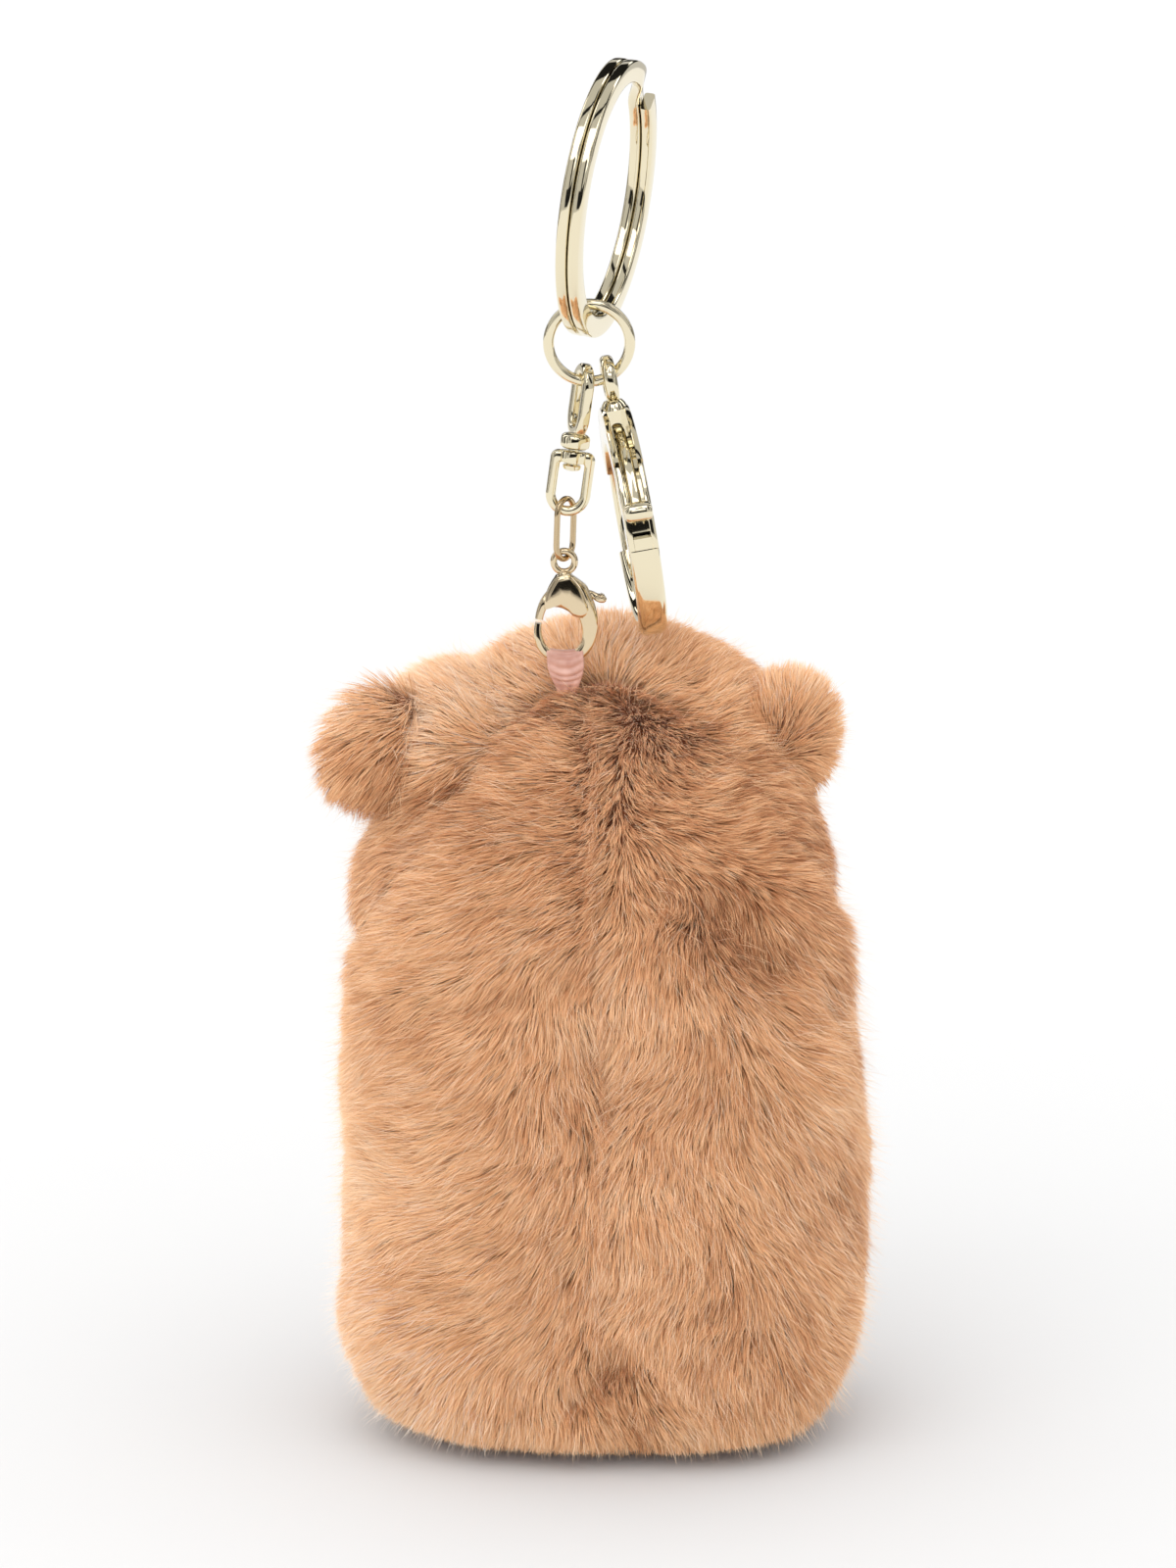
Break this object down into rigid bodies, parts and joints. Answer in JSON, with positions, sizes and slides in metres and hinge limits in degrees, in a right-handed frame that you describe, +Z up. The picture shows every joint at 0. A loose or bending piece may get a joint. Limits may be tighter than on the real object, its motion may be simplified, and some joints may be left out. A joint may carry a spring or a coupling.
{
  "type": "plush keychain",
  "caption": "Small fur-fabric plush animal hanging from a split ring by a swivel chain and a lobster clasp, with a round trigger clip beside it.",
  "frame": {"origin": "inside of the top of the split ring, on the face that a hook or a key bears on", "axes": "+Z up along the hanging keychain, the animal faces -Y, its left side is on +X"},
  "size_m": [0.0569, 0.0528, 0.1523],
  "materials": {
    "gold": "polished pale gold plate",
    "dark_gold": "polished darker gold plate",
    "steel": "plain spring steel",
    "fur": "dense short caramel pile",
    "pale_fur": "dense short pile, paler than the back",
    "stuffing": "loose polyester fill",
    "satin": "pink satin ribbon",
    "black_plastic": "polished",
    "washer_plastic": "moulded"
  },
  "bodies": {
    "key_ring": {"split_ring": "gold"},
    "jump_ring": {"jump_ring": "gold"},
    "swivel_eye": {"swivel_eye": "gold"},
    "swivel_link": {"swivel_link": "gold"},
    "oval_link": {"oval_link": "dark_gold"},
    "lobster_clasp": {"lobster_body": "gold", "lobster_pin": "steel", "lobster_spring": "steel"},
    "lobster_lever": {"lobster_lever": "gold"},
    "trigger_clip": {"clip_body": "gold", "clip_pin": "steel", "clip_spring": "steel"},
    "clip_lever": {"clip_lever": "gold", "clip_knob": "gold"},
    "plush": {"stuffing_core": "stuffing", "back_panel_left": "fur", "back_panel_right": "fur", "face_panel": "fur", "belly_panel": "fur", "crown_panel": "pale_fur", "base_panel": "fur", "ear_left_back": "fur", "ear_left_front": "pale_fur", "ear_right_back": "fur", "ear_right_front": "pale_fur", "eye_left": "black_plastic", "eye_washer_left": "washer_plastic", "eye_right": "black_plastic", "eye_washer_right": "washer_plastic", "muzzle": "pale_fur", "nose": "black_plastic", "arm_left": "fur", "foot_left": "pale_fur", "arm_right": "fur", "foot_right": "pale_fur", "ribbon_loop": "satin"}
  },
  "joints": [
    {"name": "jump_ring_swing", "type": "hinge", "parent": "key_ring", "child": "jump_ring", "pos_m": [0.00367, 0, -0.02614], "axis": [0.2588, 0.9659, 0], "range_deg": [-35, 35]},
    {"name": "swivel_eye_swing", "type": "hinge", "parent": "jump_ring", "child": "swivel_eye", "pos_m": [0.00429, -0.00132, -0.03236], "axis": [-0.9903, -0.0289, -0.1361], "range_deg": [-45, 45]},
    {"name": "swivel_link_turn", "type": "hinge", "parent": "swivel_eye", "child": "swivel_link", "pos_m": [0.00429, -0.00132, -0.03236], "axis": [-0.1361, -0.002, 0.9907], "continuous": true},
    {"name": "oval_link_swing", "type": "hinge", "parent": "swivel_link", "child": "oval_link", "pos_m": [0.00624, -0.00129, -0.04658], "axis": [0.9991, 0.029, 0.0318], "range_deg": [-40, 15]},
    {"name": "lobster_swing", "type": "hinge", "parent": "oval_link", "child": "lobster_clasp", "pos_m": [0.00641, -0.0013, -0.05189], "axis": [0.5493, 0.8354, 0.0166], "range_deg": [-25, 25]},
    {"name": "lobster_lever_turn", "type": "hinge", "parent": "lobster_clasp", "child": "lobster_lever", "pos_m": [0.0062, -0.00131, -0.05518], "axis": [-0.0289, 0.9996, -0.002], "range_deg": [0, 25], "stiffness_Nm_per_rad": 0.004, "springref_deg": -20.05, "deforming": ["lobster_spring"]},
    {"name": "plush_swing", "type": "hinge", "parent": "lobster_clasp", "child": "plush", "pos_m": [0.00638, -0.00132, -0.06284], "axis": [1, 0, 0], "range_deg": [-15, 40]},
    {"name": "clip_swing", "type": "hinge", "parent": "jump_ring", "child": "trigger_clip", "pos_m": [0.00154, -0.00122, -0.03186], "axis": [0.8746, -0.1008, -0.4742], "range_deg": [-35, 30]},
    {"name": "clip_lever_turn", "type": "hinge", "parent": "trigger_clip", "child": "clip_lever", "pos_m": [0.00082, -0.00774, -0.03883], "axis": [0.9834, 0.0706, -0.1672], "range_deg": [0, 12], "stiffness_Nm_per_rad": 0.01, "springref_deg": -17.19, "deforming": ["clip_spring"]}
  ]
}
